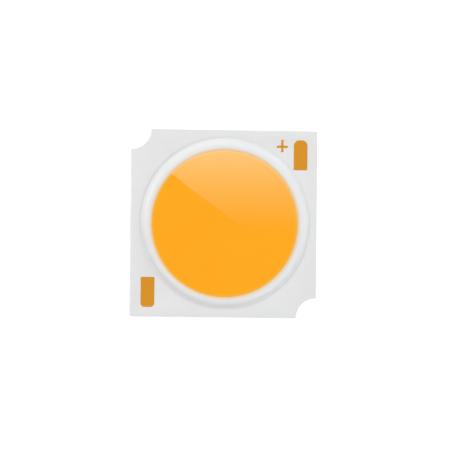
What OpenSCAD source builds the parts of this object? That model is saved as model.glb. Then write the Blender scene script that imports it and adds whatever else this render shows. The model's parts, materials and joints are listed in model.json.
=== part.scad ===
// Chip-on-board (COB) LED on a mirror-finished aluminium plate.
//
// Built up as the real part is made: a punched plate, an insulating laminate
// with a round window, etched copper, a white solder mask with windows over
// the solder pads, then dice glued straight onto the bright plate, bonded in
// series strings with gold wire, ringed by a white silicone dam and flooded
// with phosphor-filled silicone.
//
// Millimetres. +Z is the light-emitting side; the origin is the centre of the
// underside. The positive pad is in the +X +Y corner, the negative pad in the
// -X -Y corner, and the two screw notches are in the other two corners.

/* [Plate] */
// Side of the square plate
board_size = 28; // [27:0.5:32]
// Thickness of the aluminium plate
plate_t = 1.0; // [0.8:0.1:2.0]
// Radius of the two screw notches, centred on the plate's corners
notch_r = 3.0; // [1.5:0.1:3.5]
// Radius on the two corners that have no notch
corner_r = 0.2; // [0.1:0.05:0.6]

/* [Laminate, copper and solder mask] */
// Thickness of the insulating laminate
laminate_t = 0.10; // [0.06:0.01:0.15]
// Radius of the laminate's window, which bares the mirror-bright plate
window_r = 9.7; // [9.6:0.02:9.8]
// Thickness of the copper
copper_t = 0.035; // [0.018:0.001:0.035]
// Thickness of the nickel and gold plated on bare copper
plating_t = 0.005; // [0.003:0.001:0.008]
// Thickness of the solder mask over bare laminate
mask_t = 0.06; // [0.045:0.005:0.09]
// Radius of the solder mask's round opening, which ends under the dam
mask_open_r = 10.6; // [10.5:0.02:10.8]
// Inner radius of the two bus arcs that the outer bond wires land on
bus_inner_r = 9.85; // [9.82:0.01:9.9]
// Outer radius of the bus arcs
bus_outer_r = 11.6; // [11.2:0.05:11.8]
// Half of the angle that each bus arc spans
bus_half_angle = 62; // [58:1:75]

/* [Solder pads] */
// Distance of each pad's centre from the centre line, across
pad_x = 11.45; // [11.35:0.01:11.6]
// Distance of each pad's centre from the centre line, along
pad_y = 10.35; // [10.25:0.01:10.5]
// Width of the bare pad
pad_w = 2.08; // [1.6:0.02:2.2]
// Length of the bare pad
pad_l = 4.48; // [3.6:0.02:4.6]
// Corner radius at the positive pad's outer end, which is arched
anode_end_r = 0.84; // [0.3:0.02:0.96]
// Corner radius at the negative pad's outer end, which is blunter
cathode_end_r = 0.62; // [0.3:0.02:0.96]
// Corner radius at the inner ends
pad_corner_r = 0.14; // [0.06:0.02:0.3]
// How far the copper runs on under the solder mask's edge
pad_lap = 0.12; // [0.05:0.01:0.16]
// Width of the copper lead from bus arc to pad
lead_w = 1.4; // [0.8:0.1:1.6]

/* [Polarity mark] */
// Across position of the plus sign's centre
plus_x = 8.68; // [8.5:0.02:8.8]
// Along position of the plus sign's centre
plus_y = 11.70; // [11.4:0.02:11.8]
// Width of the plus sign
plus_w = 1.66; // [1.2:0.02:1.8]
// Height of the plus sign
plus_h = 1.84; // [1.2:0.02:2.0]
// Width of its strokes
plus_stroke = 0.36; // [0.2:0.02:0.44]
// How far the cross stroke sits below the middle
plus_drop = 0.12; // [0:0.01:0.2]

/* [Dam and phosphor gel] */
// Radius of the dam's crest
dam_r = 11.50; // [11.45:0.01:11.55]
// Half of the dam's width at its foot
dam_half_w = 1.25; // [1.15:0.01:1.3]
// Height of the dam above the solder mask
dam_h = 0.65; // [0.62:0.01:0.9]
// Height of the gel's surface above the solder mask
gel_h = 0.575; // [0.42:0.005:0.6]

/* [Dice and bond wires] */
// Width of a die, along its string
chip_w = 0.40; // [0.3:0.01:0.44]
// Length of a die, across its string
chip_l = 0.80; // [0.5:0.02:0.86]
// Thickness of a die
chip_h = 0.15; // [0.08:0.01:0.17]
// Thickness of the die-attach adhesive
attach_t = 0.02; // [0.01:0.005:0.03]
// How far the adhesive squeezes out round a die
attach_lap = 0.02; // [0.01:0.005:0.03]
// Distance between neighbouring strings
row_pitch = 1.47; // [1.3:0.01:1.49]
// Radius that the outermost dice stay inside
array_r = 9.4; // [9.3:0.05:9.45]
// Thickness of the gold wire
wire_t = 0.03; // [0.02:0.005:0.04]
// Height of a wire's loop above the dice
loop_h = 0.17; // [0.12:0.01:0.17]
// Radius at which the outermost wires land on the bus arcs
land_r = 10.0; // [9.97:0.01:10.03]

/* [Hidden] */
strings = 12;
dice = 12;                                  // in series in each string
half = board_size / 2;
z_lam = plate_t;                            // underside of the laminate
z_cu = z_lam + laminate_t;                  // underside of copper and mask
z_cu_top = z_cu + copper_t;
z_mask = z_cu + mask_t;                     // top of the solder mask
z_crest = z_mask + dam_h;
z_gel = z_mask + gel_h;
// The dam's section is a circle's cap: its radius, and its centre's height
bead_r = (dam_half_w * dam_half_w + dam_h * dam_h) / (2 * dam_h);
bead_z = z_crest - bead_r;
z_chip = plate_t + attach_t;                // underside of the dice
z_chip_top = z_chip + chip_h;
bond_inset = 0.08;                          // from a die's edge to its bond
lead_from = 42;                             // where a lead leaves its arc
fine = 96;                                  // facets shown on round features

// ---- flat outlines ------------------------------------------------------

// What a radius r takes off a square corner at the origin's +x +y side
module corner_off(r) {
    translate([-r, -r]) difference() {
        square(r + 1);
        circle(r = r, $fn = fine);
    }
}

// A square with two notched corners and two lightly rounded ones
module board_outline() {
    difference() {
        square(board_size, center = true);
        translate([-half, half]) circle(r = notch_r, $fn = fine);
        translate([half, -half]) circle(r = notch_r, $fn = fine);
        translate([half, half]) corner_off(corner_r);
        rotate(180) translate([half, half]) corner_off(corner_r);
    }
}

// A pad standing along +y: radius re at its +y end, ri at its -y end,
// grown all round by g
module pad_outline(re, ri, g = 0) {
    w = pad_w + 2 * g;
    l = pad_l + 2 * g;
    difference() {
        square([w, l], center = true);
        translate([w / 2, l / 2]) corner_off(re + g);
        mirror([1, 0]) translate([w / 2, l / 2]) corner_off(re + g);
        mirror([0, 1]) translate([w / 2, l / 2]) corner_off(ri + g);
        rotate(180) translate([w / 2, l / 2]) corner_off(ri + g);
    }
}

module plus_outline(g = 0) {
    translate([plus_x, plus_y]) {
        square([plus_stroke + 2 * g, plus_h + 2 * g], center = true);
        translate([0, -plus_drop])
            square([plus_w + 2 * g, plus_stroke + 2 * g], center = true);
    }
}

// A bus arc, its lead and its solder pad, on the +x side
module trace_outline(end_r) {
    x0 = 10.9 * cos(lead_from);
    y0 = 10.9 * sin(lead_from);
    x1 = pad_x - 0.4;
    y1 = pad_y - 1.33;
    intersection() {
        difference() {
            circle(r = bus_outer_r, $fn = fine);
            circle(r = bus_inner_r, $fn = fine);
        }
        polygon([
            [0, 0],
            [14 * cos(bus_half_angle), -14 * sin(bus_half_angle)],
            [14, -14 * sin(bus_half_angle)],
            [14, 14 * sin(bus_half_angle)],
            [14 * cos(bus_half_angle), 14 * sin(bus_half_angle)]
        ]);
    }
    translate([x0, y0]) rotate(atan2(y1 - y0, x1 - x0))
        translate([0, -lead_w / 2]) square([norm([x1 - x0, y1 - y0]), lead_w]);
    translate([pad_x, pad_y]) pad_outline(end_r, pad_corner_r, pad_lap);
}

// ---- solids shared between modules --------------------------------------

module anode_copper() {
    translate([0, 0, z_cu]) linear_extrude(copper_t) trace_outline(anode_end_r);
}

module cathode_copper() {
    translate([0, 0, z_cu]) linear_extrude(copper_t)
        rotate(180) trace_outline(cathode_end_r);
}

module plus_copper() {
    translate([0, 0, z_cu]) linear_extrude(copper_t) plus_outline(0.06);
}

// Copper with plating on it, which fills a window of the solder mask
module plated() {
    translate([0, 0, z_cu]) linear_extrude(copper_t + plating_t) children();
}

// The whole bead, down to the laminate
module bead() {
    rotate_extrude($fn = 2 * fine) intersection() {
        translate([dam_r, bead_z]) circle(r = bead_r, $fn = fine);
        translate([dam_r - bead_r - 1, z_cu])
            square([2 * bead_r + 2, z_crest]);
    }
}

// ---- die positions ------------------------------------------------------

// y of a string, 1 to 12 from the -Y side up
function row_y(s) = (s - (strings + 1) / 2) * row_pitch;
// x of a string's last die, so that its corner stays inside array_r
function row_end(s) =
    sqrt(pow(array_r, 2) - pow(abs(row_y(s)) + chip_l / 2, 2)) - chip_w / 2;
// x of die d, 1 to 12 from the -X side
function die_x(s, d) = row_end(s) * (2 * (d - 1) / (dice - 1) - 1);
// half of the distance between a string's two landings on the bus arcs
function land_x(s) = sqrt(pow(land_r, 2) - pow(row_y(s), 2));

module dice_of(s, grow = 0, z0 = 0, h = 1) {
    for (d = [1:dice])
        translate([die_x(s, d) - chip_w / 2 - grow,
                   row_y(s) - chip_l / 2 - grow, z0])
            cube([chip_w + 2 * grow, chip_l + 2 * grow, h]);
}

// ---- bond wires ---------------------------------------------------------

// The wire's underside from a to b (points in x, z): flat on the first bond,
// up steeply, over the loop, and down at a slant to the second
function loop_path(a, b, h) = let (dx = b[0] - a[0], z = max(a[1], b[1])) [
    a,
    [a[0] + 0.04, a[1]],
    [a[0] + 0.04 + 0.12 * dx, z + h],
    [a[0] + 0.56 * dx, z + h * 0.94],
    [b[0] - 0.04, b[1]],
    b
];
// Square to the path at point i, scaled so that the wire keeps its thickness
function unit(v) = v / norm(v);
function normal_at(p, i) = let (
    n = len(p),
    u = unit(p[min(i + 1, n - 1)] - p[max(min(i, n - 2), 0)]),
    v = unit(p[max(i, 1)] - p[max(i - 1, 0)]),
    m = unit([-(u + v)[1], (u + v)[0]])
) m / max(0.5, m * [-u[1], u[0]]);

module wire(a, b, y, h) {
    p = loop_path(a, b, h);
    n = len(p);
    section = concat(p, [for (i = [n - 1:-1:0]) p[i] + wire_t * normal_at(p, i)]);
    translate([0, y + wire_t / 2, 0]) rotate([90, 0, 0])
        linear_extrude(wire_t) polygon(section);
}

// ---- one module per sub-part --------------------------------------------

module base_plate() {
    color("gainsboro") linear_extrude(plate_t) board_outline();
}

module insulating_layer() {
    color("ivory") translate([0, 0, z_lam]) linear_extrude(laminate_t)
        difference() {
            board_outline();
            circle(r = window_r, $fn = 2 * fine);
        }
}

module anode_trace() {
    color("goldenrod") {
        anode_copper();
        plated() translate([pad_x, pad_y])
            pad_outline(anode_end_r, pad_corner_r);
    }
}

module cathode_trace() {
    color("goldenrod") {
        cathode_copper();
        plated() rotate(180) translate([pad_x, pad_y])
            pad_outline(cathode_end_r, pad_corner_r);
    }
}

module polarity_mark() {
    color("goldenrod") {
        plus_copper();
        plated() plus_outline();
    }
}

module solder_mask() {
    color("whitesmoke") difference() {
        translate([0, 0, z_cu]) linear_extrude(mask_t) difference() {
            board_outline();
            circle(r = mask_open_r, $fn = 2 * fine);
            translate([pad_x, pad_y]) pad_outline(anode_end_r, pad_corner_r);
            rotate(180) translate([pad_x, pad_y])
                pad_outline(cathode_end_r, pad_corner_r);
            plus_outline();
        }
        anode_copper();
        cathode_copper();
        plus_copper();
    }
}

module dam_ring() {
    color("white") difference() {
        bead();
        translate([0, 0, z_cu]) linear_extrude(mask_t) difference() {
            circle(r = 14, $fn = fine);
            circle(r = mask_open_r, $fn = 2 * fine);
        }
        anode_copper();
        cathode_copper();
    }
}

module phosphor_gel() {
    color("orange") difference() {
        rotate_extrude($fn = 2 * fine) difference() {
            translate([0, plate_t]) square([dam_r, z_gel - plate_t]);
            translate([window_r, 0]) square([5, z_cu]);
            translate([dam_r, bead_z]) circle(r = bead_r, $fn = fine);
        }
        anode_copper();
        cathode_copper();
        for (s = [1:strings]) {
            dice_of(s, attach_lap, plate_t, attach_t);
            dice_of(s, 0, z_chip, chip_h);
            wires_of(s);
        }
    }
}

module die_attach() {
    color("silver") for (s = [1:strings])
        dice_of(s, attach_lap, plate_t, attach_t);
}

module chip_string(s) {
    color("lightsteelblue") dice_of(s, 0, z_chip, chip_h);
}

module wires_of(s) {
    y = row_y(s);
    e = chip_w / 2 - bond_inset;
    wire([-land_x(s), z_cu_top], [die_x(s, 1) - e, z_chip_top], y, loop_h);
    for (d = [1:dice - 1])
        wire([die_x(s, d) + e, z_chip_top], [die_x(s, d + 1) - e, z_chip_top],
             y, loop_h);
    wire([die_x(s, dice) + e, z_chip_top], [land_x(s), z_cu_top], y, loop_h);
}

module bond_wires(s) {
    color("gold") wires_of(s);
}

base_plate();
insulating_layer();
anode_trace();
cathode_trace();
polarity_mark();
solder_mask();
dam_ring();
phosphor_gel();
die_attach();
chip_string(1);  // chip_string_1
chip_string(2);  // chip_string_2
chip_string(3);  // chip_string_3
chip_string(4);  // chip_string_4
chip_string(5);  // chip_string_5
chip_string(6);  // chip_string_6
chip_string(7);  // chip_string_7
chip_string(8);  // chip_string_8
chip_string(9);  // chip_string_9
chip_string(10);  // chip_string_10
chip_string(11);  // chip_string_11
chip_string(12);  // chip_string_12
bond_wires(1);  // bond_wires_1
bond_wires(2);  // bond_wires_2
bond_wires(3);  // bond_wires_3
bond_wires(4);  // bond_wires_4
bond_wires(5);  // bond_wires_5
bond_wires(6);  // bond_wires_6
bond_wires(7);  // bond_wires_7
bond_wires(8);  // bond_wires_8
bond_wires(9);  // bond_wires_9
bond_wires(10);  // bond_wires_10
bond_wires(11);  // bond_wires_11
bond_wires(12);  // bond_wires_12
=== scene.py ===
"""Looks of the chip-on-board LED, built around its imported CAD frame.

Row frame, metres: origin at the centre of the plate's underside, +Z the
light-emitting side. Lengths in this file are millimetres until a mesh is made.
"""
import bpy
import json
import math
import numpy as np
from mathutils import Matrix, Vector
from mathutils.geometry import delaunay_2d_cdt

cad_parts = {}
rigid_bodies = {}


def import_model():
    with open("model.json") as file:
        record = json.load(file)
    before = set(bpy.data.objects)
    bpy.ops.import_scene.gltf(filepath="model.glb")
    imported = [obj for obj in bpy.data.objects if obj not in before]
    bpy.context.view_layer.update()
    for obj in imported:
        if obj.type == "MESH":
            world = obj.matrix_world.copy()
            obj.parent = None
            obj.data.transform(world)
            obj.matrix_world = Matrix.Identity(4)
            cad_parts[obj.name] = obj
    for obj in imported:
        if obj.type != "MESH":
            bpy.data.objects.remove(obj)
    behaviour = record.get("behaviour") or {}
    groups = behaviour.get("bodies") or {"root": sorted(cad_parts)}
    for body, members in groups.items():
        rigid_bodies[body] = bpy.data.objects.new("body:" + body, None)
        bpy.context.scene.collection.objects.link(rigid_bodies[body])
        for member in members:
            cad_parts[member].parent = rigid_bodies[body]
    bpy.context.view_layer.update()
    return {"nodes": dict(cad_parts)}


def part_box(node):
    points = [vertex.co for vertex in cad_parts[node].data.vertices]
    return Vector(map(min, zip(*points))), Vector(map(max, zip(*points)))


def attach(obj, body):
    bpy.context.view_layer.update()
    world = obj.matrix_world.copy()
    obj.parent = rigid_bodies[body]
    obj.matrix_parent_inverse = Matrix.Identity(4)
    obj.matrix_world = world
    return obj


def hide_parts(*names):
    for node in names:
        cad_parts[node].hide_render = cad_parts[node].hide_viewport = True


for stray in list(bpy.data.objects):
    bpy.data.objects.remove(stray, do_unlink=True)

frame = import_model()
MM = 0.001


def box_mm(node):
    lo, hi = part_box(node)
    return [v * 1000 for v in lo], [v * 1000 for v in hi]


# ---------------------------------------------------------------- CAD sizes
HALF = box_mm("base_plate")[1][0]
Z_LAM = box_mm("insulating_layer")[0][2]
Z_CU = box_mm("solder_mask")[0][2]
Z_CU_TOP = Z_CU + 0.035                 # the plated pads stand a little higher
Z_MASK = box_mm("solder_mask")[1][2]
Z_GEL = box_mm("phosphor_gel")[1][2]
Z_CREST = box_mm("dam_ring")[1][2]
DAM_FOOT_R = box_mm("dam_ring")[1][0]
PAD_LAP = 0.12
PLUS_LAP = 0.06
NOTCH_R = 3.0
CORNER_R = 0.2
MASK_OPEN_R = 10.6
WINDOW_R = 9.7
BUS_INNER_R = 9.85
BUS_ANGLE = 62.0
# pad centres and sizes, from the copper's own boxes
PAD_W, PAD_L = 2.08, 4.48
PAD_X = box_mm("anode_trace")[1][0] - PAD_LAP - PAD_W / 2
PAD_Y = box_mm("anode_trace")[1][1] - PAD_LAP - PAD_L / 2
ANODE_END_R, CATHODE_END_R, PAD_CORNER_R = 0.84, 0.62, 0.14
_p = box_mm("polarity_mark")
PLUS_X, PLUS_Y = (_p[0][0] + _p[1][0]) / 2, (_p[0][1] + _p[1][1]) / 2
PLUS_W, PLUS_H = _p[1][0] - _p[0][0] - 2 * PLUS_LAP, _p[1][1] - _p[0][1] - 2 * PLUS_LAP
PLUS_STROKE, PLUS_DROP = 0.36, 0.12


# ------------------------------------------------------------ flat outlines
def arc(cx, cy, r, a0, a1, n):
    return [(cx + r * math.cos(math.radians(a0 + (a1 - a0) * i / n)),
             cy + r * math.sin(math.radians(a0 + (a1 - a0) * i / n))) for i in range(n + 1)]


def board_outline(n=28):
    """Anticlockwise: two lightly rounded corners and two notched ones."""
    h, c, r = HALF, CORNER_R, NOTCH_R
    pts = arc(-h + c, -h + c, c, 180, 270, 6)
    pts += arc(h, -h, r, 180, 90, n)
    pts += arc(h - c, h - c, c, 0, 90, 6)
    pts += arc(-h, h, r, 0, -90, n)
    return pts


def round_corners(pts, radii, n=6):
    """Anticlockwise polygon with each corner turned into an arc of its radius."""
    out, m = [], len(pts)
    for i, r in enumerate(radii):
        p, a, b = Vector(pts[i]), Vector(pts[i - 1]), Vector(pts[(i + 1) % m])
        u, v = (a - p).normalized(), (b - p).normalized()
        half = math.acos(max(-1, min(1, u.dot(v)))) / 2
        d = r / math.tan(half)
        centre = p + (u + v).normalized() * (r / math.sin(half))
        s, e = p + u * d - centre, p + v * d - centre
        a0 = math.atan2(s.y, s.x)
        turn = (math.atan2(e.y, e.x) - a0 + math.pi) % (2 * math.pi) - math.pi
        out += [(centre.x + r * math.cos(a0 + turn * k / n),
                 centre.y + r * math.sin(a0 + turn * k / n)) for k in range(n + 1)]
    return out


def pad_window(sign, end_r):
    w, l = PAD_W / 2, PAD_L / 2
    pts = round_corners([(-w, -l), (w, -l), (w, l), (-w, l)],
                        [PAD_CORNER_R, PAD_CORNER_R, end_r, end_r], 12)
    return [(sign * (x + PAD_X), sign * (y + PAD_Y)) for x, y in pts]


def plus_window():
    s, w, h, d = PLUS_STROKE / 2, PLUS_W / 2, PLUS_H / 2, PLUS_DROP
    pts = [(-s, -h), (s, -h), (s, -d - s), (w, -d - s), (w, -d + s), (s, -d + s),
           (s, h), (-s, h), (-s, -d + s), (-w, -d + s), (-w, -d - s), (-s, -d - s)]
    pts = round_corners(pts, [0.05] * 12, 4)
    return [(x + PLUS_X, y + PLUS_Y) for x, y in pts]


def circle(r, n=360):
    return [(r * math.cos(2 * math.pi * i / n), r * math.sin(2 * math.pi * i / n)) for i in range(n)]


def offset(pts, d):
    """An anticlockwise outline grown by d (shrunk if d is negative)."""
    out, m = [], len(pts)
    for i in range(m):
        a, p, b = Vector(pts[i - 1]), Vector(pts[i]), Vector(pts[(i + 1) % m])
        u, v = (p - a).normalized(), (b - p).normalized()
        n1, n2 = Vector((u.y, -u.x)), Vector((v.y, -v.x))
        n = (n1 + n2).normalized()
        out.append(tuple(p + n * (d / max(0.35, n.dot(n1)))))
    return out


def inside(pt, poly):
    x, y, hit = pt[0], pt[1], False
    for i in range(len(poly)):
        (x0, y0), (x1, y1) = poly[i - 1], poly[i]
        if (y0 > y) != (y1 > y) and x < (x1 - x0) * (y - y0) / (y1 - y0) + x0:
            hit = not hit
    return hit


# ------------------------------------------------------------- mesh helpers
class Build:
    """Collects vertices in millimetres and faces, then makes one object."""

    def __init__(self):
        self.v, self.f = [], []

    def ring(self, pts, z):
        """pts of (x, y), z a number or one for each point; returns their indices."""
        start = len(self.v)
        for i, (x, y) in enumerate(pts):
            self.v.append((x, y, z[i] if hasattr(z, "__len__") else z))
        return list(range(start, len(self.v)))

    def strip(self, a, b, flip=False):
        """Quads between two closed rings of equal length: outward if a lies below b."""
        n = len(a)
        for i in range(n):
            j = (i + 1) % n
            q = (a[i], a[j], b[j], b[i])
            self.f.append(q[::-1] if flip else q)

    def fill(self, outer, holes=(), up=True, extra=()):
        """Triangles between a ring and the rings of its holes, all already made.
        extra are loose vertices to take in, already made."""
        rings = [outer, *holes]
        ids = [i for r in rings for i in r] + list(extra)
        at = {v: k for k, v in enumerate(ids)}
        co = [Vector(self.v[i][:2]) for i in ids]
        edges = [(at[r[i - 1]], at[r[i]]) for r in rings for i in range(len(r))]
        vs, _, faces, orig, _, _ = delaunay_2d_cdt(co, edges, [], 0, 1e-7)
        polys = [[self.v[i][:2] for i in r] for r in rings]
        for f in faces:
            c = (sum(vs[k].x for k in f) / 3, sum(vs[k].y for k in f) / 3)
            if not inside(c, polys[0]) or any(inside(c, h) for h in polys[1:]):
                continue
            tri = [ids[orig[k][0]] for k in f]
            a, b, d = (Vector(self.v[i][:2]) for i in tri)
            ccw = (b - a).cross(d - a) > 0
            self.f.append(tuple(tri if ccw == up else tri[::-1]))

    def fan(self, ring, centre, up=True):
        self.v.append(centre)
        c, n = len(self.v) - 1, len(ring)
        for i in range(n):
            j = (i + 1) % n
            self.f.append((ring[i], ring[j], c) if up else (ring[j], ring[i], c))

    def object(self, name, smooth_deg=35):
        me = bpy.data.meshes.new(name)
        me.from_pydata([(x * MM, y * MM, z * MM) for x, y, z in self.v], [], self.f)
        me.validate()
        me.update()
        for p in me.polygons:
            p.use_smooth = True
        o = bpy.data.objects.new(name, me)
        bpy.context.scene.collection.objects.link(o)
        me.set_sharp_from_angle(angle=math.radians(smooth_deg))
        return o


def quarter(r, n=3):
    """(inset, drop) pairs of a quarter-round edge, from the wall up to the face."""
    return [(r * (1 - math.cos(math.pi / 2 * i / n)), r * (1 - math.sin(math.pi / 2 * i / n)))
            for i in range(n + 1)]


def slab(name, outline, windows, z0, z1, top_r, bottom_r, window_r=None, bottom_windows=True,
         inset=0.0, mid=()):
    """A flat layer with rounded edges. outline and windows are anticlockwise.
    mid gives extra (inset, z) rings down the outer wall."""
    b = Build()
    window_r = top_r if window_r is None else window_r
    outline = offset(outline, -inset) if inset else outline
    rings = []
    for d, drop in [(r, z) for r, z in reversed(quarter(bottom_r))]:
        rings.append(b.ring(offset(outline, -d), z0 + drop))
    for d, z in mid:
        rings.append(b.ring(offset(outline, -d), z))
    for d, drop in quarter(top_r):
        rings.append(b.ring(offset(outline, -d), z1 - drop))
    for lo, hi in zip(rings, rings[1:]):
        b.strip(lo, hi)
    tops, bottoms = [], []
    for w in windows:
        wr = [b.ring(w, z0)]
        for d, drop in quarter(window_r):
            wr.append(b.ring(offset(w, d), z1 - drop))
        for lo, hi in zip(wr, wr[1:]):
            b.strip(lo, hi, flip=True)
        bottoms.append(wr[0])
        tops.append(wr[-1])
    b.fill(rings[-1], tops, up=True)
    b.fill(rings[0], bottoms, up=False)
    return b.object(name)


def wobble(seed, terms, phi):
    """A smooth closed function of the angle, about -1 to 1, the same every run."""
    rng = np.random.default_rng(seed)
    out = np.zeros_like(phi)
    total = 0.0
    for k in terms:
        a = rng.uniform(0.4, 1.0) / (k ** 0.5)
        out += a * np.cos(k * phi + rng.uniform(0, 2 * math.pi))
        total += a
    return out / total * 1.6


# ----------------------------------------------------------------- the dam
N_AZ = 720
PHI = np.linspace(0, 2 * math.pi, N_AZ, endpoint=False)
DAM_H = Z_CREST - Z_MASK
DAM_R = 11.50
HALF_W = 1.245
FILLET = 0.60                            # the silicone wets the mask at its outer foot
# The bead is laid from a needle: its line, width and height drift a little, and
# its end runs over its start in one soft swelling
SEAM = math.radians(-38)


def bump_at(phi, centre, width):
    d = (phi - centre + math.pi) % (2 * math.pi) - math.pi
    return np.exp(-(d / math.radians(width)) ** 2)


OFFSET = 0.05 + 0.045 * np.sin(PHI) - 0.03 * np.cos(2 * PHI)    # the needle's path ran a little inside true
CREST_R = DAM_R + 0.012 * wobble(3, range(2, 9), PHI) - OFFSET
WIDTH = HALF_W * (1 + 0.006 * wobble(4, range(2, 14), PHI)) - 0.026
HEIGHT = DAM_H * (0.990 + 0.004 * wobble(5, range(2, 16), PHI) + 0.003 * bump_at(PHI, SEAM, 5))
WIDTH = WIDTH + 0.006 * bump_at(PHI, SEAM + 0.03, 4) + 0.075 * np.cos(PHI - math.radians(62)) + 0.056

SPREAD = OFFSET + 0.075 + 0.075 * np.cos(PHI - math.radians(35))    # more silicone ran outward on one side


def bead_section(k, t):
    """(r, z) on the bead at angle index k, t from -1 at the outer foot to 1 at the inner:
    a rounded cap, with a hollow fillet where its outer side runs out on the mask."""
    w, h = WIDTH[k], HEIGHT[k]
    rad = (w * w + h * h) / (2 * h)
    full = math.asin(w / rad)
    if t >= 0:
        a = t * full
        return CREST_R[k] - rad * math.sin(a), Z_MASK + h - rad + rad * math.cos(a)
    w = w + SPREAD[k]
    rad = (w * w + h * h) / (2 * h)
    full = math.asin(w / rad)
    turn = 0.55                          # share of the steps spent on the cap
    if t >= -turn:
        a = -t / turn * full
        cap = rad - FILLET
        return CREST_R[k] + cap * math.sin(a), Z_MASK + h - cap + cap * math.cos(a)
    a = (1 + t) / (1 - turn) * full
    return CREST_R[k] + w - FILLET * math.sin(a), Z_MASK + FILLET * (1 - math.cos(a))


def inner_flank(k, z):
    """Radius of the bead's inner flank at height z, at angle index k."""
    w, h = WIDTH[k], HEIGHT[k]
    rad = (w * w + h * h) / (2 * h)
    zc = Z_MASK + h - rad
    return CREST_R[k] - math.sqrt(max(0.0, rad * rad - (z - zc) ** 2))


def on_ring(radii):
    return [(radii[k] * math.cos(PHI[k]), radii[k] * math.sin(PHI[k])) for k in range(N_AZ)]


def make_dam():
    b = Build()
    rings = []
    steps = [-1 + 2 * i / 50 for i in range(51)]
    for t in steps:
        s = [bead_section(k, t) for k in range(N_AZ)]
        rings.append(b.ring(on_ring([p[0] for p in s]), [p[1] for p in s]))
    # under the bead: down inside the mask's opening on to the copper, and back out
    low = Z_CU_TOP + 0.001
    foot = [inner_flank(k, Z_MASK) for k in range(N_AZ)]
    under = [inner_flank(k, low) for k in range(N_AZ)]
    rings.append(b.ring(on_ring(under), low))
    rings.append(b.ring(on_ring([MASK_OPEN_R - 0.002] * N_AZ), low))
    rings.append(b.ring(on_ring([MASK_OPEN_R - 0.002] * N_AZ), Z_MASK + 0.0005))
    for lo, hi in zip(rings, rings[1:]):
        b.strip(lo, hi)
    b.strip(rings[-1], rings[0])
    # feet exactly on the mask
    for i in rings[0]:
        x, y, _ = b.v[i]
        b.v[i] = (x, y, Z_MASK + 0.0005)
    return b.object("white_dam", 60)


# ----------------------------------------------------------------- the gel
def gel_height(x, y, edge):
    """Height of the gel's surface: edge is the distance in from the rim."""
    slow = 0.2 * (0.0011 * math.sin(0.43 * x + 0.27 * y + 0.6) + 0.0009 * math.sin(-0.31 * x + 0.52 * y + 2.1)
            + 0.0005 * math.sin(0.81 * x - 0.66 * y + 4.0))
    return 1.7245 + slow * (1 - math.exp(-edge / 1.5))


def make_gel():
    b = Build()
    top = 1.726
    rim = np.array([inner_flank(k, top) for k in range(N_AZ)]) - 0.002
    edges = [0.0, 0.012, 0.026, 0.044, 0.066, 0.092, 0.125, 0.17, 0.23, 0.32, 0.46, 0.70, 1.1, 1.7, 2.5,
             3.4, 4.4, 5.5, 6.6, 7.7, 8.8, 9.8, 10.5]
    down = []
    z_foot = Z_CU_TOP + 0.002
    arcs = [abs((math.degrees(p) + 180) % 360 - 180) < BUS_ANGLE
            or abs(math.degrees(p) - 180) < BUS_ANGLE for p in PHI]
    z_arc = [Z_CU_TOP + 0.002 if a else Z_CU + 0.002 for a in arcs]
    down.append(b.ring(on_ring([WINDOW_R - 0.003] * N_AZ), Z_LAM + 0.0005))
    down.append(b.ring(on_ring([WINDOW_R - 0.003] * N_AZ), Z_CU + 0.002))
    down.append(b.ring(on_ring([BUS_INNER_R - 0.003] * N_AZ), Z_CU + 0.002))
    down.append(b.ring(on_ring([BUS_INNER_R - 0.002] * N_AZ), z_arc))
    down.append(b.ring(on_ring([inner_flank(k, z_foot) - 0.002 for k in range(N_AZ)]), z_foot))
    for z in (1.22, 1.32, 1.42, 1.52, 1.60, 1.66, 1.70):
        down.append(b.ring(on_ring([inner_flank(k, z) - 0.002 for k in range(N_AZ)]), z))
    rings = list(down)
    for e in edges:
        r = rim - e
        pts = on_ring(r)
        rings.append(b.ring(pts, [gel_height(x, y, e) for x, y in pts]))
    for lo, hi in zip(rings, rings[1:]):
        b.strip(lo, hi)
    b.fan(rings[-1], (0, 0, gel_height(0, 0, 11)), up=True)
    b.fan(rings[0], (0, 0, Z_LAM + 0.0005), up=False)
    return b.object("phosphor_gel_fill", 50)


# ------------------------------------------------------------------- pieces
outline = board_outline()
windows = [pad_window(1, ANODE_END_R), pad_window(-1, CATHODE_END_R), plus_window(), circle(MASK_OPEN_R)]

plate = slab("aluminium_plate", outline, [], 0.0, Z_LAM, 0.05, 0.035, mid=[(0.006, 0.30), (0.0, 0.42)])
laminate = slab("laminate_sheet", outline, [circle(WINDOW_R)], Z_LAM, Z_CU, 0.004, 0.004, inset=0.012)
mask = slab("white_solder_mask", outline, windows, Z_CU, Z_MASK, 0.022, 0.002, window_r=0.02, inset=0.018)
dam = make_dam()
gel = make_gel()

for piece, node, slot in ((plate, "base_plate", "aluminium"), (laminate, "insulating_layer", "laminate"),
                          (mask, "solder_mask", "solder_mask"), (dam, "dam_ring", "white_silicone"),
                          (gel, "phosphor_gel", "phosphor_silicone")):
    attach(piece, "root")
    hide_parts(node)


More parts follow.
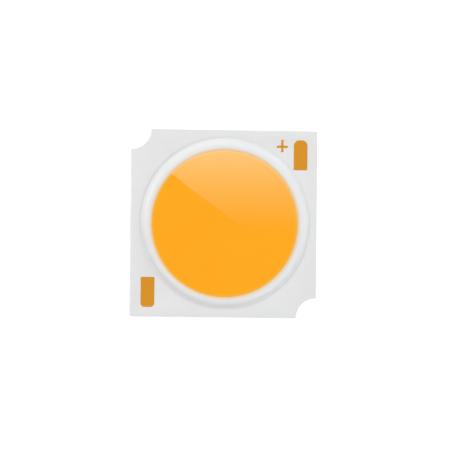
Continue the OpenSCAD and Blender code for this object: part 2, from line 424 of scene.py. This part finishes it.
# ---------------------------------------------------------------- materials
class Mat:
    """A small helper round one node material. Texture space is millimetres."""

    def __init__(self, name):
        self.m = bpy.data.materials.new(name)
        self.m.use_nodes = True
        self.t = self.m.node_tree
        self.t.nodes.clear()
        self.out = self.t.nodes.new("ShaderNodeOutputMaterial")
        self.p = self.t.nodes.new("ShaderNodeBsdfPrincipled")
        self.t.links.new(self.p.outputs[0], self.out.inputs[0])
        tc = self.t.nodes.new("ShaderNodeTexCoord")
        mp = self.t.nodes.new("ShaderNodeMapping")
        mp.inputs["Scale"].default_value = (1000, 1000, 1000)
        self.t.links.new(tc.outputs["Object"], mp.inputs["Vector"])
        self.co = mp.outputs[0]

    def set(self, **k):
        for n, v in k.items():
            self.p.inputs[n.replace("_", " ")].default_value = v

    def node(self, kind, **inputs):
        n = self.t.nodes.new(kind)
        for k, v in inputs.items():
            if isinstance(v, bpy.types.NodeSocket):
                self.t.links.new(v, n.inputs[k])
            elif k in n.inputs:
                n.inputs[k].default_value = v
            else:
                setattr(n, k, v)
        return n

    def stretch(self, scale):
        n = self.node("ShaderNodeMapping", Vector=self.co)
        n.inputs["Scale"].default_value = scale
        return n.outputs[0]

    def noise(self, scale, detail=3.0, rough=0.5, vec=None):
        n = self.node("ShaderNodeTexNoise", Vector=vec or self.co)
        n.inputs["Scale"].default_value = scale
        n.inputs["Detail"].default_value = detail
        n.inputs["Roughness"].default_value = rough
        return n.outputs["Fac"]

    def remap(self, value, lo, hi, a=0.0, b=1.0):
        n = self.node("ShaderNodeMapRange", Value=value)
        n.inputs["From Min"].default_value = a
        n.inputs["From Max"].default_value = b
        n.inputs["To Min"].default_value = lo
        n.inputs["To Max"].default_value = hi
        return n.outputs[0]

    def math(self, op, a, b=0.0):
        n = self.t.nodes.new("ShaderNodeMath")
        n.operation = op
        for i, v in enumerate((a, b)):
            if isinstance(v, bpy.types.NodeSocket):
                self.t.links.new(v, n.inputs[i])
            else:
                n.inputs[i].default_value = v
        return n.outputs[0]

    def mix(self, fac, a, b):
        n = self.t.nodes.new("ShaderNodeMix")
        n.data_type = "RGBA"
        for i, v in ((0, fac), (6, a), (7, b)):
            if isinstance(v, bpy.types.NodeSocket):
                self.t.links.new(v, n.inputs[i])
            else:
                n.inputs[i].default_value = v if i == 0 else (*v[:3], 1)
        return n.outputs[2]

    def xyz(self):
        n = self.node("ShaderNodeSeparateXYZ", Vector=self.co)
        return n.outputs

    def bump(self, height, microns, strength=1.0, normal=None):
        n = self.t.nodes.new("ShaderNodeBump")
        n.inputs["Strength"].default_value = strength
        n.inputs["Distance"].default_value = microns * 1e-6
        self.t.links.new(height, n.inputs["Height"])
        if normal is not None:
            self.t.links.new(normal, n.inputs["Normal"])
        return n.outputs[0]

    def link(self, out, name):
        self.t.links.new(out, self.p.inputs[name])


def rim_radius(m):
    """Distance from the gel's middle, levelled so that the rim is at one value all round."""
    x, y, _ = m.xyz()
    xx, yy = m.math("MULTIPLY", x, x), m.math("MULTIPLY", y, y)
    r = m.math("ADD", m.math("SQRT", m.math("ADD", xx, yy)), m.math("MULTIPLY", y, 0.045 / 11.0))
    r = m.math("ADD", r, m.math("MULTIPLY", m.math("SUBTRACT", yy, xx), 0.03 / 121.0))
    return m.math("ADD", r, m.remap(m.noise(2.0, 3), 0.02, 0.08))


def paint(obj, mat):
    obj.data.materials.clear()
    obj.data.materials.append(mat.m)


# White solder mask: a satin ink with a faint orange peel and a few cloudy tints
m = Mat("solder_mask_white")
cloud = m.noise(0.30, 3, 0.55)
grain = m.noise(9.0, 2, 0.5)
tint = m.mix(m.remap(cloud, 0, 1, 0.35, 0.65), (0.642, 0.640, 0.638), (0.657, 0.656, 0.655))
m.link(m.mix(m.remap(grain, 0.0, 0.05), tint, (0.56, 0.56, 0.555)), "Base Color")
m.link(m.remap(m.noise(2.2, 4, 0.6), 0.48, 0.60, 0.3, 0.7), "Roughness")
m.link(m.bump(m.noise(5.0, 3, 0.5), 1.6, 1.0), "Normal")
m.set(Specular_IOR_Level=0.12)
paint(mask, m)

# Laminate: resin and glass, seen only as a thin line at the rim
m = Mat("laminate_ivory")
weave = m.noise(7.0, 2, 0.5, m.stretch((1, 1, 6)))
m.link(m.mix(weave, (0.58, 0.56, 0.47), (0.70, 0.68, 0.60)), "Base Color")
m.link(m.remap(weave, 0.55, 0.75), "Roughness")
m.link(m.bump(weave, 4.0), "Normal")
paint(laminate, m)

# Aluminium: rolled faces with fine lines along X; the punched wall has a
# burnished band above and a torn, darker band below
m = Mat("aluminium_plate_metal")
lines = m.noise(1.0, 4, 0.65, m.stretch((0.25, 14.0, 14.0)))
torn = m.noise(1.0, 4, 0.7, m.stretch((9.0, 9.0, 3.0)))
z = m.xyz()[2]
ragged = m.math("ADD", z, m.remap(m.noise(1.6, 3, 0.6), -0.12, 0.12))
band = m.remap(ragged, 0.0, 1.0, 0.34, 0.46)
geo = m.node("ShaderNodeNewGeometry")
nz = m.node("ShaderNodeSeparateXYZ", Vector=geo.outputs["Normal"]).outputs[2]
wall = m.remap(m.math("ABSOLUTE", nz), 1.0, 0.0, 0.2, 0.8)
face_col = m.mix(lines, (0.80, 0.81, 0.82), (0.90, 0.905, 0.91))
wall_col = m.mix(band, m.mix(torn, (0.38, 0.38, 0.39), (0.50, 0.505, 0.51)), (0.58, 0.585, 0.59))
m.link(m.mix(wall, face_col, wall_col), "Base Color")
face_rough = m.remap(lines, 0.30, 0.44)
wall_rough = m.remap(m.math("MULTIPLY", m.math("SUBTRACT", 1.0, band), torn), 0.26, 0.62)
mixr = m.node("ShaderNodeMix")
mixr.data_type = "FLOAT"
m.t.links.new(wall, mixr.inputs[0])
m.t.links.new(face_rough, mixr.inputs[2])
m.t.links.new(wall_rough, mixr.inputs[3])
m.link(mixr.outputs[0], "Roughness")
m.link(m.bump(m.mix(wall, lines, torn), 1.5), "Normal")
m.set(Metallic=1.0)
paint(plate, m)

# Dam: white silicone, a little translucent, with soft flow marks along the bead
m = Mat("dam_silicone_white")
flow = m.noise(0.7, 2, 0.4)
fine = m.noise(11.0, 2, 0.5)
white = m.mix(flow, (0.664, 0.664, 0.664), (0.678, 0.679, 0.681))
# painted light: the orange light that the gel throws into the translucent silicone along the gel's rim is
# painted into the dam's colour as an orange tint, fading outward
painted_gel_glow = m.node("ShaderNodeMapRange", Value=rim_radius(m))
painted_gel_glow.interpolation_type = "SMOOTHSTEP"
for k, v in (("From Min", 10.98), ("From Max", 11.62), ("To Min", 1.0), ("To Max", 0.0)):
    painted_gel_glow.inputs[k].default_value = v
m.link(m.mix(painted_gel_glow.outputs[0], white, (0.71, 0.49, 0.24)), "Base Color")
m.link(m.remap(flow, 0.38, 0.44, 0.3, 0.7), "Roughness")
m.link(m.bump(fine, 0.25, 1.0, m.bump(flow, 0.5)), "Normal")
m.set(Specular_IOR_Level=0.45, Subsurface_Weight=0.12, Subsurface_Scale=0.0004,
      Subsurface_Radius=(1.0, 0.95, 0.9))
paint(dam, m)

# Phosphor gel: orange silicone full of fine phosphor grain under a glossy skin
m = Mat("phosphor_gel_orange")
grit = m.noise(22.0, 2, 0.6)
drift = m.noise(0.16, 2, 0.5)
body = m.mix(m.remap(drift, 0, 1, 0.35, 0.65), (0.868, 0.333, 0.0112), (0.875, 0.340, 0.0122))
# a paler rim, where the gel feathers out over the white bead
pale = m.remap(rim_radius(m), 0.0, 1.0, 10.70, 11.04)
body = m.mix(pale, body, (0.72, 0.395, 0.075))
m.link(m.mix(m.remap(grit, 0.0, 0.10), body, (0.79, 0.290, 0.010)), "Base Color")
m.link(m.bump(grit, 0.8), "Normal")
m.set(Roughness=0.55, Specular_IOR_Level=0.05, Coat_Weight=0.4, Coat_Roughness=0.01, Coat_IOR=1.43)
paint(gel, m)


def gold(name, colour_a, colour_b, rough, lines=False):
    m = Mat(name)
    n = m.noise(3.0, 4, 0.6)
    g = m.noise(24.0, 2, 0.5)
    m.link(m.mix(n, colour_a, colour_b), "Base Color")
    m.link(m.remap(g, rough, rough + 0.10), "Roughness")
    m.link(m.bump(g, 0.9, 1.0, m.bump(n, 2.0)), "Normal")
    m.set(Metallic=1.0)
    return m


pad_gold = gold("pad_gold", (0.835, 0.370, 0.034), (0.88, 0.392, 0.040), 0.50)
for n in ("anode_trace", "cathode_trace", "polarity_mark"):
    paint(frame["nodes"][n], pad_gold)

wire_gold = gold("bond_wire_gold", (0.90, 0.62, 0.20), (0.95, 0.68, 0.26), 0.22)
die = Mat("die_sapphire")
mesa = die.noise(6.0, 3, 0.5)
die.link(die.mix(mesa, (0.20, 0.30, 0.46), (0.34, 0.44, 0.58)), "Base Color")
die.link(die.remap(mesa, 0.10, 0.22), "Roughness")
die.set(Coat_Weight=0.5, Coat_Roughness=0.05)
glue = Mat("die_attach_silver")
speck = glue.noise(18.0, 3, 0.6)
glue.link(glue.mix(speck, (0.62, 0.62, 0.63), (0.80, 0.80, 0.81)), "Base Color")
glue.link(glue.remap(speck, 0.35, 0.6), "Roughness")
glue.link(glue.bump(speck, 2.0), "Normal")
glue.set(Metallic=0.6)
for i in range(1, 13):
    paint(frame["nodes"]["chip_string_%d" % i], die)
    paint(frame["nodes"]["bond_wires_%d" % i], wire_gold)
paint(frame["nodes"]["die_attach"], glue)

# ------------------------------------------------------------------ camera
TILT_X, TILT_Y, ROLL = math.radians(8.588), math.radians(1.449), math.radians(0.580)
DIST, PX_PER_MM = 1251.04, 6.70137
OFF_X, OFF_Y = 0.85, -1.45              # pixels from the frame's centre
target = Vector((0, 0, Z_MASK))
toward = Vector((-math.sin(TILT_X) * math.cos(TILT_Y), -math.sin(TILT_Y),
                 math.cos(TILT_X) * math.cos(TILT_Y))).normalized()
right = Vector((0, 1, 0)).cross(toward).normalized()
up = toward.cross(right)
right, up = (right * math.cos(ROLL) + up * math.sin(ROLL),
             up * math.cos(ROLL) - right * math.sin(ROLL))
eye = target + toward * DIST + right * (OFF_X / PX_PER_MM) + up * (OFF_Y / PX_PER_MM)
cam_data = bpy.data.cameras.new("camera")
cam = bpy.data.objects.new("camera", cam_data)
bpy.context.scene.collection.objects.link(cam)
cam.matrix_world = Matrix((
    (right.x, up.x, toward.x, eye.x * MM), (right.y, up.y, toward.y, eye.y * MM),
    (right.z, up.z, toward.z, eye.z * MM), (0, 0, 0, 1)))
cam_data.sensor_width = 36
cam_data.lens = PX_PER_MM * DIST * 36 / 450
cam_data.clip_start, cam_data.clip_end = 0.05, 60
bpy.context.scene.camera = cam

# ------------------------------------------------------------------- stage
bpy.context.scene.view_settings.view_transform = "Standard"
bpy.context.scene.view_settings.look = "None"


def plane(name, corners):
    me = bpy.data.meshes.new(name)
    me.from_pydata([Vector(c) * MM for c in corners], [], [tuple(range(len(corners)))])
    o = bpy.data.objects.new(name, me)
    bpy.context.scene.collection.objects.link(o)
    return o


floor = plane("floor", [(-3000, -3000, -0.01), (3000, -3000, -0.01), (3000, 3000, -0.01), (-3000, 3000, -0.01)])
m = Mat("floor_white")
m.link(m.mix(m.noise(0.02, 2), (0.93, 0.93, 0.93), (0.95, 0.95, 0.95)), "Base Color")
m.set(Roughness=0.9, Specular_IOR_Level=0.0, Emission_Color=(1, 1, 1, 1), Emission_Strength=0.38)
paint(floor, m)

# The room: a soft white tent whose top is open, so nothing bright stands
# straight above the glossy gel, and whose skirt is dimmer than its roof
FILL = 0.84
world = bpy.data.worlds.new("tent")
bpy.context.scene.world = world
world.use_nodes = True
nt = world.node_tree
nt.nodes.clear()
wo = nt.nodes.new("ShaderNodeOutputWorld")
bg = nt.nodes.new("ShaderNodeBackground")
tc = nt.nodes.new("ShaderNodeTexCoord")
sep = nt.nodes.new("ShaderNodeSeparateXYZ")
mr = nt.nodes.new("ShaderNodeMapRange")
mr.interpolation_type = "SMOOTHSTEP"
nt.links.new(tc.outputs["Generated"], sep.inputs[0])
nt.links.new(sep.outputs[2], mr.inputs["Value"])
mr.inputs["From Min"].default_value = 0.90
mr.inputs["From Max"].default_value = 0.975
mr.inputs["To Min"].default_value = 1.0
mr.inputs["To Max"].default_value = 0.0
skirt = nt.nodes.new("ShaderNodeMapRange")
skirt.interpolation_type = "SMOOTHSTEP"
nt.links.new(sep.outputs[2], skirt.inputs["Value"])
skirt.inputs["From Min"].default_value = 0.42
skirt.inputs["From Max"].default_value = 0.62
skirt.inputs["To Min"].default_value = 0.50 * FILL
skirt.inputs["To Max"].default_value = FILL
mul = nt.nodes.new("ShaderNodeMath")
mul.operation = "MULTIPLY"
nt.links.new(mr.outputs[0], mul.inputs[0])
nt.links.new(skirt.outputs[0], mul.inputs[1])
nt.links.new(mul.outputs[0], bg.inputs["Strength"])
nt.links.new(bg.outputs[0], wo.inputs[0])

# Softboxes: (name, azimuth, elevation, strength, tint)
COOL, WARM, PLAIN = (0.90, 0.99, 1.09), (1.05, 1.0, 0.90), (1.0, 1.0, 1.0)
LIGHTS = [
    ("top", 90, 32, 0.45, PLAIN),
    ("top_left", 118, 34, 0.482, PLAIN),
    ("left", 156, 34, 1.484, PLAIN),
    ("top_right", 45, 15, 0.539, COOL),
    ("right", 0, 15, 0.396, COOL),
    ("right_low", 312, 32, 1.25, PLAIN),
]
for name, az, el, power, tint in LIGHTS:
    ld = bpy.data.lights.new(name, "AREA")
    ld.shape = "DISK"
    ld.size = 0.76
    ld.energy = power * 8.46
    ld.color = tint
    lo = bpy.data.objects.new(name, ld)
    a, e = math.radians(az), math.radians(el)
    d = Vector((math.cos(a) * math.cos(e), math.sin(a) * math.cos(e), math.sin(e)))
    lo.location = d * 1.6
    lo.rotation_euler = d.to_track_quat("Z", "Y").to_euler()
    bpy.context.scene.collection.objects.link(lo)

# A small graduated panel over the part. Only glossy rays see it: it is the pale,
# straight-edged sheen across the upper right of the gel
CARD = 2.75
CARD_H = 260.0
lean_x, lean_y = CARD_H * math.tan(TILT_X), CARD_H * math.tan(TILT_Y)
grow = 1 + CARD_H / DIST


def over(x, y):
    """The panel point seen mirrored in the gel at (x, y)."""
    return (x * grow + lean_x, y * grow + lean_y, CARD_H)


card = plane("panel", [over(*p) for p in
                       [(-6.69, 6.12), (-4.87, 4.70), (-3.06, 3.52), (-1.25, 2.20), (0.90, 0.74), (3.60, -1.35),
                        (9.6, -5.2)]
                       + arc(0, 0, 11.6, -27.5, 138.7, 40)])
m = Mat("panel_glow")
m.t.nodes.remove(m.p)
glow = m.t.nodes.new("ShaderNodeEmission")
m.t.links.new(glow.outputs[0], m.out.inputs[0])
fall = m.t.nodes.new("ShaderNodeValToRGB")
at = m.remap(m.xyz()[1], 0.0, 1.0, over(0, -1.2)[1], over(0, 11.0)[1])
m.t.links.new(at, fall.inputs[0])
ramp = fall.color_ramp
stops = ((0.0, 0.0), (0.098, 0.035), (0.189, 0.1), (0.279, 0.16), (0.378, 0.23), (0.477, 0.31), (0.576, 0.41), (0.675, 0.53), (0.775, 0.66), (0.865, 0.8), (1.0, 1.0))
while len(ramp.elements) < len(stops):
    ramp.elements.new(0.5)
for e, (at, v) in zip(ramp.elements, stops):
    e.position, e.color = at, (v, v, v, 1)
m.t.links.new(m.math("MULTIPLY", fall.outputs[0], CARD * 5.3), glow.inputs["Strength"])
paint(card, m)
for flag in ("visible_camera", "visible_diffuse", "visible_transmission", "visible_shadow",
             "visible_volume_scatter"):
    setattr(card, flag, False)
